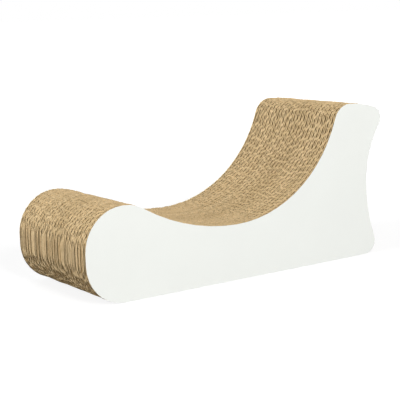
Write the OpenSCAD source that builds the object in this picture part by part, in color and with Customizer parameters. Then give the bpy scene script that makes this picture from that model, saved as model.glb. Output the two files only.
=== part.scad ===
// Lounger-shaped cat scratcher made of die-cut corrugated boards glued face to face.
// Every board has the same outline and stands upright along the length, with its flutes vertical,
// so the claws meet the open ends of the flutes. A white face sheet covers each side.
// X runs from the nose to the back, Y across the boards, Z up. The origin is the middle of the
// footprint, on the floor.

/* [Outline] */
// Length from the nose tip to the tip of the ear
length = 456; // [380:1:560]
// Height of the back above the floor
back_h = 205; // [170:1:240]
// Height of the nose roll above the floor
nose_h = 114; // [95:1:135]
// Radius of the upper front of the nose
nose_top_r = 51; // [40:1:60]
// Height of the upright front between the two rounds of the nose
nose_front_h = 13; // [4:1:20]
// Length of the level top of the nose
nose_flat = 2.3; // [1:0.1:10]
// Radius of the crest behind the nose
crest_r = 48; // [36:1:60]
// Distance from the nose tip to the lowest point of the seat
seat_x = 213; // [180:1:245]
// Height of the seat at its lowest point
seat_h = 70; // [58:1:82]
// Length of the top from its highest point to the tip of the ear
top_l = 55.3; // [45:0.1:66]
// Radius of the shoulder where the seat turns into the top
shoulder_r = 26; // [16:1:32]
// Radius of the ear at the rear end of the top
ear_r = 16; // [12:0.5:19]
// Height by which the top falls from its highest point to the ear
top_fall = 6; // [4:0.5:12]
// Depth of the hollow in the rear edge, measured from the tip of the ear
waist_inset = 26; // [18:1:34]
// Height of the deepest point of the hollow
waist_h = 99; // [85:1:115]
// Radius of the heel under the hollow
heel_r = 17.5; // [12:0.5:22]
// Distance that the heel stays behind the tip of the ear
heel_inset = 10.5; // [4:0.5:14]

/* [Boards] */
// Number of plain boards between the two cover boards
core_boards = 22; // [12:1:30]
// Thickness of each paper liner
liner_t = 0.35; // [0.25:0.05:0.5]
// Thickness of the fluted paper
medium_t = 0.3; // [0.2:0.05:0.4]
// Distance between the liners of the coarse flutes
coarse_h = 3.5; // [3:0.1:4.2]
// Pitch of the coarse flutes
coarse_pitch = 7.7; // [7:0.1:9]
// Distance between the liners of the fine flutes
fine_h = 2.45; // [2:0.05:3]
// Thickness of the white face sheets
face_t = 0.4; // [0.3:0.05:0.8]
// Greatest height by which a core board was glued in above the base line
slip = 1.2; // [0:0.1:2]

/* [Hidden] */
fine_wall_t = 2 * liner_t + fine_h;
board_t = fine_wall_t + coarse_h + liner_t;
core_w = core_boards * board_t;
stack_w = core_w + 2 * board_t;

// How far a cutting shape runs past what it cuts
over = 2 * medium_t;
// How far the straight steps of a cut arc may stand off the true arc
arc_error = 0.2;
// Seeds of the boards' flute offsets and of their slips
phase_seed = 7;
slip_seed = 1171;

kraft = [0.72, 0.63, 0.47];
cover_kraft = [0.75, 0.66, 0.5];
white = [0.94, 0.94, 0.92];

// Nose
nose_bottom_r = nose_h - nose_front_h - nose_top_r;
crest_x = nose_top_r + nose_flat;

// Seat: to each side it rises on one arc and ends level on a second one that bends the other way
front_radii = radii_of_rise(seat_x - crest_x, nose_h - seat_h);
seat_front_r = front_radii - crest_r;
crest_turn = acos(1 - (nose_h - seat_h) / front_radii);
top_x = length - top_l;
back_radii = radii_of_rise(top_x - seat_x, back_h - seat_h);
seat_back_r = back_radii - shoulder_r;
back_turn = acos(1 - (back_h - seat_h) / back_radii);

// Rear edge: the crown over the top, the ear, the two arcs of the hollow and the heel
ear_x = length - ear_r;
ear_drop = ear_r + top_fall;
ear_z = back_h - ear_drop;
crown_dx = ear_x - top_x;
crown_r = (pow(crown_dx, 2) + pow(ear_drop, 2) - pow(ear_r, 2)) / (2 * (ear_drop - ear_r));
crown_turn = asin(crown_dx / (crown_r - ear_r));
waist_x = length - waist_inset;
heel_x = length - heel_inset - heel_r;
upper_r = hollow_radius(waist_x - ear_x, ear_z - waist_h, ear_r);
lower_r = hollow_radius(waist_x - heel_x, waist_h - heel_r, heel_r);
upper_turn = asin((ear_z - waist_h) / (upper_r + ear_r));
lower_turn = asin((waist_h - heel_r) / (lower_r + heel_r));

// Directions from the centre of an arc
rearward = 0;
upward = 90;
noseward = 180;
downward = -90;

// Sum of the radii of two arcs that rise dz over dx, level at both ends
function radii_of_rise(dx, dz) = (dx * dx + dz * dz) / (2 * dz);

// Radius of the hollow's arc that touches a round corner of radius r, dx and dz away
function hollow_radius(dx, dz, r) = (dx * dx + dz * dz - r * r) / (2 * (r - dx));

// Points of one arc round a centre, from angle a0 to angle a1
function arc(x, z, r, a0, a1) =
    let (n = ceil(abs(a1 - a0) / 2 / acos(1 - arc_error / r)))
    [for (i = [0:n]) let (a = a0 + (a1 - a0) * i / n) [x + r * cos(a), z + r * sin(a)]];

outline_points = concat(
    arc(nose_bottom_r, nose_bottom_r, nose_bottom_r, downward, -noseward),
    arc(nose_top_r, nose_h - nose_top_r, nose_top_r, noseward, upward),
    arc(crest_x, nose_h - crest_r, crest_r, upward, upward - crest_turn),
    arc(seat_x, seat_h + seat_front_r, seat_front_r, downward - crest_turn, downward),
    arc(seat_x, seat_h + seat_back_r, seat_back_r, downward, downward + back_turn),
    arc(top_x, back_h - shoulder_r, shoulder_r, upward + back_turn, upward),
    arc(top_x, back_h - crown_r, crown_r, upward, upward - crown_turn),
    arc(ear_x, ear_z, ear_r, upward - crown_turn, rearward),
    arc(ear_x, ear_z, ear_r, rearward, rearward - upper_turn),
    arc(waist_x + upper_r, waist_h, upper_r, noseward - upper_turn, noseward),
    arc(waist_x + lower_r, waist_h, lower_r, noseward, noseward + lower_turn),
    arc(heel_x, heel_r, heel_r, rearward + lower_turn, downward)
);

// The die-cut outline, w thick, with its near face at y
module outline_plate(y, w) {
    translate([-length / 2, y + w, 0])
        rotate([90, 0, 0])
            linear_extrude(height = w)
                polygon(outline_points);
}

// One row of open three-sided cells between liner faces at y and y + h. What stands between
// them is the fluted paper, which runs from liner to liner and back in each pitch.
module flute_cells(y, h, pitch, phase) {
    half = (pitch - medium_t) / 2;
    root = h - medium_t;
    count = ceil(length / pitch) + 1;
    for (i = [0:count]) {
        x = -length / 2 + (i - phase) * pitch;
        polygon([[x - half, y], [x + half, y], [x, y + root]]);
        translate([pitch / 2, 0])
            polygon([[x - half, y + h], [x, y + h - root], [x + half, y + h]]);
    }
}

// A double-wall board: a liner, the fine flutes, a liner, the coarse flutes and a liner. The
// coarse flutes are open cells, right through the board from edge to edge.
module board(y, rise, phase) {
    translate([0, 0, rise])
        difference() {
            outline_plate(y, board_t);
            translate([0, 0, -over])
                linear_extrude(height = back_h + 2 * over)
                    flute_cells(y + fine_wall_t, coarse_h, coarse_pitch, phase);
        }
}

// Each board comes off the corrugator with its flutes at its own offset
phases = rands(0, 1, core_boards + 2, phase_seed);
// Each was glued in a little high, and more like its neighbours than like the rest
loose_slips = rands(0, slip, core_boards + 2, slip_seed);
slips = [for (i = [1:core_boards]) (loose_slips[i - 1] + loose_slips[i] + loose_slips[i + 1]) / 3];

function core_name(i) = str("core_board_", i < 10 ? "0" : "", i);

module core_board(i) {
    color(kraft)
        board(-core_w / 2 + (i - 1) * board_t, slips[i - 1], phases[i]);
}

module near_cover_board() {
    color(cover_kraft)
        board(-stack_w / 2, 0, phases[0]);
}

module far_cover_board() {
    color(cover_kraft)
        board(core_w / 2, 0, phases[core_boards + 1]);
}

module near_face_sheet() {
    color(white)
        outline_plate(-stack_w / 2 - face_t, face_t);
}

module far_face_sheet() {
    color(white)
        outline_plate(stack_w / 2, face_t);
}

near_face_sheet();
near_cover_board();
for (i = [1:core_boards])
    core_board(i);
far_cover_board();
far_face_sheet();
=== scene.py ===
import math

import bpy
import numpy as np
from mathutils import Matrix, Vector


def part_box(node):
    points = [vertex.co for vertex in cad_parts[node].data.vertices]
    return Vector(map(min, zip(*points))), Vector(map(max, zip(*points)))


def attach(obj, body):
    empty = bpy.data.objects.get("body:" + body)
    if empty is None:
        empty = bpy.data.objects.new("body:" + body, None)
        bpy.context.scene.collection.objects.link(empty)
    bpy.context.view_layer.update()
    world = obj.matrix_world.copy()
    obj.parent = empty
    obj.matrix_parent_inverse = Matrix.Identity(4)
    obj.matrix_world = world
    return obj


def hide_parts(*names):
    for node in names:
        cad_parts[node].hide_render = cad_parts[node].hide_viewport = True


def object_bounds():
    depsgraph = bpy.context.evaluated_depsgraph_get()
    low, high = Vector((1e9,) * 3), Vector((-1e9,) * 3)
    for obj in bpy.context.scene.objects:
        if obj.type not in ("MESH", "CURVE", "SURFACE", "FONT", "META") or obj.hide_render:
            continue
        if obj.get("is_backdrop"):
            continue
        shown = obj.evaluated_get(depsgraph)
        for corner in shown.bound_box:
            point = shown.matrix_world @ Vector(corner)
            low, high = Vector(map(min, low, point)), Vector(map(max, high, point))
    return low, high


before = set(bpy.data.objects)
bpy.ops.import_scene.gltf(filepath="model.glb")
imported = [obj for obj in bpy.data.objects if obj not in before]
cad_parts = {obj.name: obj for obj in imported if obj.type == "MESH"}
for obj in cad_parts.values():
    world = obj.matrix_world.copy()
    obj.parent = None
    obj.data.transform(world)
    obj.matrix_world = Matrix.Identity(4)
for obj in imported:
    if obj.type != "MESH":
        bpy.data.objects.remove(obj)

cad_low, cad_high = (list(corner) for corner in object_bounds())

# Core boards
# Twenty-two die-cut sheets of brown double-wall board, standing upright with their flutes vertical
# and glued face to face. Each is three liners with a finely and a coarsely fluted paper between
# them. The blade leaves the open ends of the flutes all round, with ragged, furry, paler edges.
# Below that pale lip, the walls inside the open flutes are painted darker: painted shade.

liner_t = 0.00035      # thickness of the flat papers
medium_t = 0.0003      # thickness of the fluted papers
coarse_h = 0.0035      # distance between the liners of the coarse flutes
coarse_pitch = 0.0077  # distance from one coarse flute to the next
fine_h = 0.00245       # the same two distances for the fine flutes
fine_pitch = 0.0064
flat_tips = 0.13       # how far the flutes are from a plain wave: flatter tips, steeper flanks
wave_steps = 12        # places along each flute where its paper turns
flute_drift = 0.0012   # how far a crest or a trough may lie from its even place
lip = 0.0013           # depth of the pale, furry lip that the blade leaves along a cut, above the painted shade
crushed = 1.8          # how much thicker the blade leaves an edge than the paper
ragged = 0.001         # how far the blade leaves an edge low
ragged_step = 0.0018   # distance from one high or low place on an edge to the next
straight_gap = 0.02    # an edge of the outline longer than this is straight
step_error = 2e-6      # how far two steps of one arc may differ in length
arc_detail = 3         # points that stand in for each step of a cut arc
apart = 1e-5           # least distance between two places along an edge
flush = 1e-6           # things closer together than this are at the same place
nudge = 2e-7           # how far beside a turn of the die line its heights are taken
decimals = 7           # decimals of a metre that are kept of a corner's place
edge_slot, liner_slot, flute_slot = range(3)  # the order of a board's materials


def plate_outline(name):
    """The die line of a CAD plate as (x, z) points in order, read off its near face."""
    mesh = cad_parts[name].data
    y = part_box(name)[0].y
    key = {v.index: (round(v.co.x, decimals), round(v.co.z, decimals)) for v in mesh.vertices}
    edges = set()
    for face in mesh.polygons:
        if all(abs(mesh.vertices[i].co.y - y) < flush for i in face.vertices):
            ring = [key[i] for i in face.vertices]
            edges ^= {(a, b) for a, b in zip(ring, ring[1:] + ring[:1])}
    after = {a: b for a, b in edges if (b, a) not in edges}
    line = [min(after)]
    while after[line[-1]] != line[0]:
        line.append(after[line[-1]])
    return np.array(line)


def rounded(line):
    """The same line with each arc's steps made finer, on the circle that its corners lie on."""
    out = []
    count = len(line)
    length = [np.hypot(*(line[(i + 1) % count] - line[i])) for i in range(count)]
    for i in range(count):
        a, b = line[i], line[(i + 1) % count]
        out.append(a)
        before, behind = abs(length[i - 1] - length[i]), abs(length[(i + 1) % count] - length[i])
        if length[i] > straight_gap or min(before, behind) > step_error:
            continue
        c = line[i - 1] if before < behind else line[(i + 2) % count]
        (ax, az), (bx, bz) = a - c, b - c
        d = 2 * (ax * bz - az * bx)
        mid = c + np.array([bz * (ax**2 + az**2) - az * (bx**2 + bz**2),
                            ax * (bx**2 + bz**2) - bx * (ax**2 + az**2)]) / d
        start, end = (math.atan2(*(p - mid)[::-1]) for p in (a, b))
        turn = (end - start + math.pi) % (2 * math.pi) - math.pi
        radius = np.hypot(*(a - mid))
        for step in range(1, arc_detail):
            angle = start + turn * step / arc_detail
            out.append(mid + radius * np.array([math.cos(angle), math.sin(angle)]))
    return np.array(out)


def inset(line, depth):
    """The same line moved inwards. It runs anticlockwise, seen from the near side."""
    along = np.roll(line, -1, 0) - np.roll(line, 1, 0)
    along /= np.hypot(*along.T)[:, None]
    return line + depth * np.stack([-along[:, 1], along[:, 0]], 1)


class Die:
    """The outline as a cutter. Its rings are the cut itself and the inner edge of the lip, where
    the painted shade on the walls begins.
    """

    def __init__(self, line):
        self.rings = line, inset(line, lip)
        turns = []
        for ring in self.rings:
            side = np.sign(np.round(np.roll(ring[:, 0], -1) - ring[:, 0], decimals + 1))
            turns += list(ring[side * np.roll(side, 1) <= 0, 0])
        self.turns = sorted(set(np.round(turns, decimals)))

    def crossings(self, xs):
        """A row of heights, from the floor up, for each place where a ring is crossed at xs, and
        the number of each row's ring: 0 for the cut and 1 for the lip."""
        x = xs[:, None]
        heights, numbers = [], []
        for number, ring in enumerate(self.rings):
            (ax, az), (bx, bz) = ring.T, np.roll(ring, -1, 0).T
            run = np.where(ax == bx, 1, bx - ax)
            found = (az + (x - ax) * (bz - az) / run)[(ax <= x) != (bx <= x)].reshape(len(xs), -1)
            heights.append(found)
            numbers += [number] * found.shape[1]
        heights = np.hstack(heights)
        order = heights.argsort(1)
        return np.take_along_axis(heights, order, 1).T, np.array(numbers)[order[len(xs) // 2]]


class Papers:
    """The points and faces of one board's papers, and the slot of each face's material."""

    def __init__(self):
        self.points, self.faces, self.slots = [], [], []

    def row(self, x, y, z):
        """Adds a row of points and gives their numbers."""
        start = len(self.points)
        self.points += zip(x, y, z)
        return np.arange(start, len(self.points))

    def band(self, a, b, slot=edge_slot):
        """Adds the faces between two rows. Seen from outside, b is above a as both run right."""
        quads = np.stack([a[:-1], a[1:], b[1:], b[:-1]], 1).tolist()
        self.faces += quads
        self.slots += [slot] * len(quads)


def cut_paper(papers, die, wave, thick, step, slot, rng, open_near=True, open_far=True):
    """One sheet of paper that follows y = wave(x), cut by the die. It is a closed thin solid from
    each turn of the die line to the next, and its edge is crushed wider on each open side."""
    steps = np.arange(die.turns[0], die.turns[-1], step)
    places = np.sort(np.concatenate([steps, die.rings[0][:, 0]]))
    burr_x = np.arange(die.turns[0], die.turns[-1] + ragged_step, ragged_step)
    for left, right in zip(die.turns, die.turns[1:]):
        if right - left < flush:
            continue
        within = places[(places > left + apart) & (places < right - apart)]
        xs = np.concatenate([[left], within[np.diff(within, prepend=left) > apart], [right]])
        y, slope = wave(xs)
        across = np.array([-slope, np.ones(len(xs))]) * thick / 2 / np.hypot(1, slope)
        heights, rings = die.crossings(np.clip(xs, left + nudge, right - nudge))
        in_cut = in_painted_shade = False
        for z, ring in zip(heights, rings):
            if ring == 0:
                burr = np.interp(xs, burr_x, rng.uniform(0, ragged, len(burr_x)))
                z = z - burr if in_cut else z + burr
            out_near = (crushed if open_near and ring == 0 else 1) * across
            out_far = (crushed if open_far and ring == 0 else 1) * across
            near = papers.row(np.clip(xs - out_near[0], left, right), y - out_near[1], z)
            far = papers.row(np.clip(xs + out_far[0], left, right), y + out_far[1], z)
            if in_cut:
                # Walls within the lip take the pale edge paper; deeper walls take the slot's darker
                # paper, painted shade.
                wall = slot if in_painted_shade else edge_slot
                papers.band(near_below, near, wall)
                papers.band(far, far_below, wall)
                papers.band(np.array([far_below[0], near_below[0]]), np.array([far[0], near[0]]))
                papers.band(np.array([near_below[-1], far_below[-1]]), np.array([near[-1], far[-1]]))
            if ring == 0:
                papers.band(*((near, far) if in_cut else (far, near)))
                in_cut = not in_cut
            else:
                in_painted_shade = not in_painted_shade
            near_below, far_below = near, far


def flat_at(y):
    """A flat liner."""
    return lambda x: (np.full(len(x), y), np.zeros(len(x)))


def fluted(die, y, height, pitch, rng):
    """Fluted paper between liners at y and y + height, with its flutes a little uneven."""
    phase = rng.uniform(0, 2 * math.pi)
    swing = (height - medium_t) / 2
    places = np.arange(die.turns[0], die.turns[-1] + pitch, pitch)
    drift = rng.uniform(-flute_drift, flute_drift, len(places))

    def wave(x):
        turn = 2 * math.pi * (x + np.interp(x, places, drift)) / pitch + phase
        shape = (1 + flat_tips) * np.cos(turn) - flat_tips * np.cos(3 * turn)
        slope = (1 + flat_tips) * np.sin(turn) - 3 * flat_tips * np.sin(3 * turn)
        return y + height / 2 + swing * shape, -2 * math.pi / pitch * swing * slope

    return wave


def cut_board(name, line, low, rise, seed):
    """A whole board, from its near face at y = low."""
    rng = np.random.default_rng(seed)
    die = Die(line + [0, rise])
    papers = Papers()

    def cut_liner(y, **sides):
        cut_paper(papers, die, flat_at(y + liner_t / 2), liner_t, ragged_step, liner_slot, rng, **sides)

    y = low
    for height, pitch in ((fine_h, fine_pitch), (coarse_h, coarse_pitch)):
        cut_liner(y, open_near=y > low)
        y += liner_t
        wave = fluted(die, y, height, pitch, rng)
        cut_paper(papers, die, wave, medium_t, pitch / wave_steps, flute_slot, rng)
        y += height
    cut_liner(y, open_far=False)
    mesh = bpy.data.meshes.new(name)
    mesh.from_pydata(papers.points, [], papers.faces)
    mesh.polygons.foreach_set("material_index", papers.slots)
    for material in (kraft_edge, kraft_liner_painted_shade, kraft_flute_painted_shade):
        mesh.materials.append(material)
    board = bpy.data.objects.new(name, mesh)
    bpy.context.scene.collection.objects.link(board)
    return board


class Field:
    """A value that varies over a surface. Sums, products and the like add Math nodes."""

    def __init__(self, tree, socket=None):
        self.tree, self.socket = tree, socket

    def node(self, kind, inputs=None, out=0, stops=None, **settings):
        """Any node: its settings first, then the value or the link of each socket."""
        made = self.tree.nodes.new("ShaderNode" + kind)
        for name, value in settings.items():
            setattr(made, name, value)
        if stops:
            ramp = made.color_ramp
            for place, colour in stops[:-2]:
                ramp.elements.new(place)
            for element, (place, colour) in zip(ramp.elements, stops):
                element.position, element.color = place, (*colour, 1)
        for name, value in (inputs or {}).items():
            if isinstance(value, Field):
                self.tree.links.new(value.socket, made.inputs[name])
            else:
                made.inputs[name].default_value = value
        return Field(self.tree, made.outputs[out])

    def math(self, operation, *values):
        return self.node("Math", dict(enumerate(values)), operation=operation)

    def __add__(self, other):
        return self.math("ADD", self, other)

    def __sub__(self, other):
        return self.math("SUBTRACT", self, other)

    def __rsub__(self, other):
        return self.math("SUBTRACT", other, self)

    def __mul__(self, other):
        return self.math("MULTIPLY", self, other)

    def __truediv__(self, other):
        return self.math("DIVIDE", self, other)

    def __rtruediv__(self, other):
        return self.math("DIVIDE", other, self)

    __radd__ = __add__
    __rmul__ = __mul__

    def mix(self, low, high):
        """The colour low where this is 0 and high where it is 1. The colour sockets of a Mix node
        go by their numbers, because other sockets have the same names."""
        sockets = {0: self, 6: low, 7: high}
        return self.node("Mix", sockets, out=2, data_type="RGBA")


def colour(red, green, blue):
    """A colour given as on a screen, in the linear values that the shader takes."""
    return tuple(((c / 255 + 0.055) / 1.055) ** 2.4 for c in (red, green, blue)) + (1,)


def paint(name):
    """A new material, its shader and a Field to start from."""
    material = bpy.data.materials.new(name)
    material.use_nodes = True
    tree = material.node_tree
    return material, tree.nodes["Principled BSDF"], Field(tree)


board_t = 3 * liner_t + fine_h + coarse_h


def kraft(name, dark, light, fleck, roughness, grain):
    """Recycled brown paper: a tone for each board, cloudy pulp, short fibres and dark flecks."""
    material, shader, start = paint(name)
    place = start.node("TexCoord", out="Object")
    y = start.node("SeparateXYZ", {"Vector": place}, out="Y")
    number = start.math("FLOOR", y / board_t)
    tone = start.node("TexWhiteNoise", {"W": number}, noise_dimensions="1D")
    along = start.node("Mapping", {"Vector": place, "Scale": (0.35, 1, 1)})
    fibre = start.node("TexNoise", {"Vector": along, "Scale": 1500.0, "Detail": 3.0})
    cloud = start.node("TexNoise", {"Vector": place, "Scale": 45.0, "Detail": 4.0})
    mottle = start.node("TexNoise", {"Vector": place, "Scale": 260.0, "Detail": 2.0})
    shade = 0.3 * tone + 0.3 * cloud + 0.2 * fibre + 0.9 * mottle - 0.35
    flecks = start.node("TexNoise", {"Vector": along, "Scale": 700.0, "Detail": 1.0})
    spots = start.node("ValToRGB", {"Fac": flecks}, stops=[(0.66, (0, 0, 0)), (0.72, (1, 1, 1))])
    base = shade.mix(colour(*dark), colour(*light))
    spotted = (0.6 * spots).mix(base, colour(*fleck))
    shader.inputs["Roughness"].default_value = roughness
    shader.inputs["Specular IOR Level"].default_value = 0.25
    bump = start.node("Bump", {"Strength": grain, "Distance": 0.0002, "Height": fibre + 0.5 * cloud})
    start.tree.links.new(spotted.socket, shader.inputs["Base Color"])
    start.tree.links.new(bump.socket, shader.inputs["Normal"])
    return material


# Flute walls below the lip: kraft brown darkened far below the paper's tone, as painted shade.
kraft_liner_painted_shade = kraft(
    "kraft_liner_painted_shade", dark=(90, 70, 31), light=(122, 98, 52), fleck=(66, 48, 22), roughness=0.85, grain=0.4
)
kraft_flute_painted_shade = kraft(
    "kraft_flute_painted_shade", dark=(78, 60, 26), light=(110, 88, 45), fleck=(58, 42, 18), roughness=0.85, grain=0.4
)
kraft_edge = kraft(
    "kraft_cut_edge", dark=(187, 161, 117), light=(229, 204, 161), fleck=(140, 110, 72),
    roughness=0.95, grain=0.9
)

die_line = rounded(plate_outline("near_face_sheet"))
core = sorted(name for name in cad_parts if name.startswith("core_board_"))
core_seed = 100
for number, name in enumerate(core):
    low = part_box(name)[0]
    board = cut_board(name + "_papers", die_line, low.y, low.z, core_seed + number)
    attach(board, "root")
    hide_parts(name)

# Cover boards
# The outermost board at each side, the same double-wall board, cut on the same die and glued on
# flush with the base. Its outer liner carries the white face sheet.

cover_seed = 200
for number, name in enumerate(("near_cover_board", "far_cover_board")):
    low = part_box(name)[0]
    board = cut_board(name + "_papers", die_line, low.y, low.z, cover_seed + number)
    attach(board, "root")
    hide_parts(name)

# White face sheets
# Smooth white coated paper, glued all over the outside of each cover board and cut with it. The
# flutes under it show through as the faintest upright ribs.

white_paper, shader, start = paint("white_face_paper")
place = start.node("TexCoord", out="Object")
x = start.node("SeparateXYZ", {"Vector": place}, out="X")
ribs = start.math("SINE", x * (2 * math.pi / fine_pitch))
pulp = start.node("TexNoise", {"Vector": place, "Scale": 900.0, "Detail": 3.0})
cloud = start.node("TexNoise", {"Vector": place, "Scale": 14.0, "Detail": 3.0})
shade = 0.7 * cloud + 0.3 * pulp
tint = shade.mix(colour(244, 246, 241), colour(250, 252, 247))
shader.inputs["Roughness"].default_value = 0.6
shader.inputs["Specular IOR Level"].default_value = 0.3
bump = start.node("Bump", {"Strength": 0.12, "Distance": 0.00005, "Height": ribs + 0.6 * pulp})
start.tree.links.new(tint.socket, shader.inputs["Base Color"])
start.tree.links.new(bump.socket, shader.inputs["Normal"])

for name in ("near_face_sheet", "far_face_sheet"):
    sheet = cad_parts[name]
    sheet.data.materials.clear()
    sheet.data.materials.append(white_paper)

# Camera
# At the photograph's angle: in front of the nose and to its near side, a little above the back.
# Its place and its turns come from a fit to the rims of the two side faces.

cad_length = cad_high[0] - cad_low[0]
frame_px = 400      # width of the photograph
focal_px = 1096.8   # the camera's focal length, in the photograph's pixels
yaw, pitch, roll = (math.radians(a) for a in (34.746, 9.764, -1.708))
# The camera's place, in lengths of the object from the nose tip at the near face, on the floor
camera_shares = (-1.27033, -2.33283, 0.7235)

forward = Vector((math.sin(yaw) * math.cos(pitch), math.cos(yaw) * math.cos(pitch), -math.sin(pitch)))
level = Vector((math.cos(yaw), -math.sin(yaw), 0))
upward = level.cross(forward)
right = math.cos(roll) * level + math.sin(roll) * upward
up = -math.sin(roll) * level + math.cos(roll) * upward
lens = bpy.data.cameras.new("camera")
lens.sensor_width = 36
lens.lens = focal_px / frame_px * lens.sensor_width
lens.clip_end = 100
camera = bpy.data.objects.new("camera", lens)
turned = Matrix((right, up, -forward)).transposed().to_4x4()
place = Vector(cad_low) + cad_length * Vector(camera_shares)
camera.matrix_world = Matrix.Translation(place) @ turned
bpy.context.scene.collection.objects.link(camera)
bpy.context.scene.camera = camera

# Floor, backdrop and lights
# A plain pale floor under a white surround, and four soft lamps: one in front of the near face, a
# high one and a low one in front of the nose, and a low one behind the far side.

floor_mesh = bpy.data.meshes.new("floor")
reach = 60.0        # distance from the object to the edges of the floor
floor_mesh.from_pydata(
    [(-reach, -reach, 0), (reach, -reach, 0), (reach, reach, 0), (-reach, reach, 0)], [], [(0, 1, 2, 3)]
)
floor = bpy.data.objects.new("floor", floor_mesh)
bpy.context.scene.collection.objects.link(floor)


def seen_by(start):
    """1 for a ray from the camera, a reflection or glass, and 0 for light on its way to the object."""
    camera, glossy, through = (
        start.node("LightPath", out=f"Is {kind} Ray") for kind in ("Camera", "Glossy", "Transmission")
    )
    return start.math("MAXIMUM", start.math("MAXIMUM", camera, glossy), through)


near_pale, far_pale = (0.82, 0.82, 0.82, 1), (1, 1, 1, 1)
white_from = 1.25   # distance from the object at which the floor is plain white
floor_paint, shader, start = paint("floor_paint")
shader.inputs["Base Color"].default_value = (0.2, 0.2, 0.2, 1)
shader.inputs["Roughness"].default_value = 0.9
shader.inputs["Specular IOR Level"].default_value = 0
shader.inputs["Emission Strength"].default_value = 1
place = start.node("TexCoord", out="Object")
away = start.node("VectorMath", {0: place}, out="Value", operation="LENGTH")
glow = seen_by(start).mix((0, 0, 0, 1), (away / white_from).mix(near_pale, far_pale))
start.tree.links.new(glow.socket, shader.inputs["Emission Color"])
floor_mesh.materials.append(floor_paint)
floor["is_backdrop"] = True

world = bpy.data.worlds.new("surround")
bpy.context.scene.world = world
world.use_nodes = True
backdrop = world.node_tree.nodes["Background"]
ambient = 0.08      # strength of the surround as a light on the object
strength = seen_by(Field(world.node_tree)) * (1 - ambient) + ambient
world.node_tree.links.new(strength.socket, backdrop.inputs["Strength"])
backdrop.inputs["Color"].default_value = (1, 1, 1, 1)


def softbox(name, place, size, level):
    """A square lamp aimed at the object. A level of 1 lights white paper that faces it to white."""
    lamp_data = bpy.data.lights.new(name, "AREA")
    lamp_data.size = size
    lamp_data.energy = level * (math.pi * Vector(place).length) ** 2
    lamp = bpy.data.objects.new(name, lamp_data)
    lamp.location = place
    lamp.rotation_euler = (-lamp.location).to_track_quat("-Z", "Y").to_euler()
    bpy.context.scene.collection.objects.link(lamp)


softbox("front_light", place=(-0.6, -3.2, 1.7), size=0.8, level=0.86)
softbox("high_nose_light", place=(-8.5, 0.7, 5.2), size=2.0, level=0.38)
softbox("low_nose_light", place=(-8.5, -0.5, 1.9), size=2.0, level=0.34)
softbox("back_light", place=(2.7, 2.7, 0.5), size=1.0, level=0.75)

bpy.context.scene.view_settings.view_transform = "Standard"

low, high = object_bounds()
